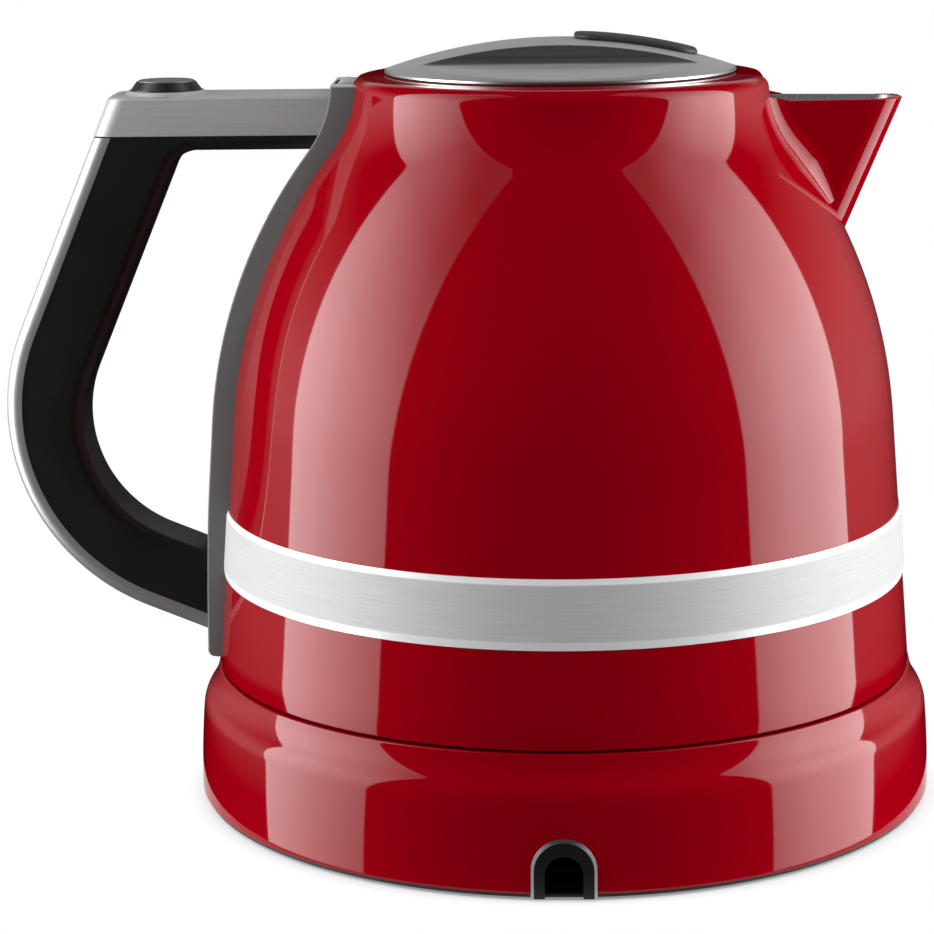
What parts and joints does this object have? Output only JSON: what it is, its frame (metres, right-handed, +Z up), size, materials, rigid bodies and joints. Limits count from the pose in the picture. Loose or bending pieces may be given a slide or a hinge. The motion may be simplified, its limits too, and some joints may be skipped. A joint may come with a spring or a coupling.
{
  "type": "electric kettle",
  "caption": "Dome-shaped electric kettle with a spout, hinged lid, side handle and release button, standing on a round power base with a temperature slider.",
  "frame": {"origin": "on the kettle's axis, at the table under the base's feet", "axes": "+Z up, +X towards the spout, -X towards the handle, -Y towards the cord notch"},
  "size_m": [0.2685, 0.2166, 0.2209],
  "materials": {
    "red_enamel": "glossy red enamel",
    "brushed_steel": "brushed",
    "vessel_steel": "smooth drawn steel",
    "satin_grey": "satin grey",
    "bright_metal": "polished",
    "soft_black": "satin black",
    "dark_plastic": "matt dark grey",
    "black_rubber": "matt",
    "circuit_board": "glossy green",
    "contact_brass": "polished",
    "fixing_steel": "plain"
  },
  "bodies": {
    "base": {"base_shell": "red_enamel", "base_deck": "soft_black", "base_cover": "soft_black", "feet": "black_rubber", "base_screws": "fixing_steel", "cord_bezel": "soft_black", "cord_clamp": "dark_plastic", "coupler_plug": "dark_plastic", "coupler_contacts": "contact_brass", "control_board": "circuit_board", "slider_track": "dark_plastic", "power_switch": "dark_plastic"},
    "temperature_slider": {"slider_knob": "bright_metal", "slider_carriage": "dark_plastic"},
    "power_button": {"power_button": "soft_black"},
    "swivel_ring": {"swivel_ring": "vessel_steel"},
    "kettle": {"outer_shell": "red_enamel", "lower_shell": "red_enamel", "spout_shell": "red_enamel", "spout_liner": "vessel_steel", "inner_vessel": "vessel_steel", "vessel_floor": "vessel_steel", "vessel_dome": "vessel_steel", "band": "brushed_steel", "spine_cover": "satin_grey", "handle_arm": "brushed_steel", "handle_strap": "brushed_steel", "handle_grip": "soft_black", "handle_screws": "fixing_steel", "button_bezel": "soft_black", "button_spring": "fixing_steel", "kettle_bottom": "soft_black", "coupler_socket": "dark_plastic", "heater_plate": "vessel_steel", "heating_element": "bright_metal", "temperature_sensor": "dark_plastic", "hinge_pin": "bright_metal", "lid_spring": "fixing_steel"},
    "lid": {"lid_cap": "brushed_steel", "lid_press_pad": "dark_plastic", "lid_liner": "dark_plastic", "lid_seal": "black_rubber", "lid_hinge_arm": "dark_plastic"},
    "lid_button": {"button_cap": "bright_metal", "button_stem": "soft_black"},
    "release_rod": {"release_rod": "dark_plastic"},
    "limescale_filter": {"filter_frame": "dark_plastic", "filter_mesh": "vessel_steel"}
  },
  "joints": [
    {"name": "kettle_swivel", "type": "hinge", "parent": "base", "child": "swivel_ring", "pos_m": [0, 0, 0.0404], "axis": [0, 0, 1], "continuous": true},
    {"name": "kettle_lift", "type": "slide", "parent": "swivel_ring", "child": "kettle", "axis": [0, 0, 1], "range_m": [0, 0.15]},
    {"name": "lid_hinge", "type": "hinge", "parent": "kettle", "child": "lid", "pos_m": [-0.061, 0, 0.2052], "axis": [0, -1, 0], "range_deg": [0, 80]},
    {"name": "button_press", "type": "slide", "parent": "kettle", "child": "lid_button", "axis": [0, 0, -1], "range_m": [0, 0.003], "stiffness_N_per_m": 600, "springref_m": -0.001, "deforming": ["button_spring"]},
    {"name": "rod_slide", "type": "slide", "parent": "kettle", "child": "release_rod", "axis": [-1, 0, 0], "range_m": [0, 0.003]},
    {"name": "temperature_slide", "type": "hinge", "parent": "base", "child": "temperature_slider", "pos_m": [0, 0, 0.0118], "axis": [0, 0, -1], "range_deg": [0, 45]},
    {"name": "power_press", "type": "slide", "parent": "base", "child": "power_button", "axis": [0.1045, -0.9945, 0], "range_m": [0, 0.002], "stiffness_N_per_m": 600, "springref_m": -0.001},
    {"name": "filter_pull", "type": "slide", "parent": "kettle", "child": "limescale_filter", "axis": [-0.8258, 0, -0.564], "range_m": [0, 0.015]}
  ],
  "couplings": [
    {"joint": "rod_slide", "follows": "button_press", "ratio": 1}
  ]
}
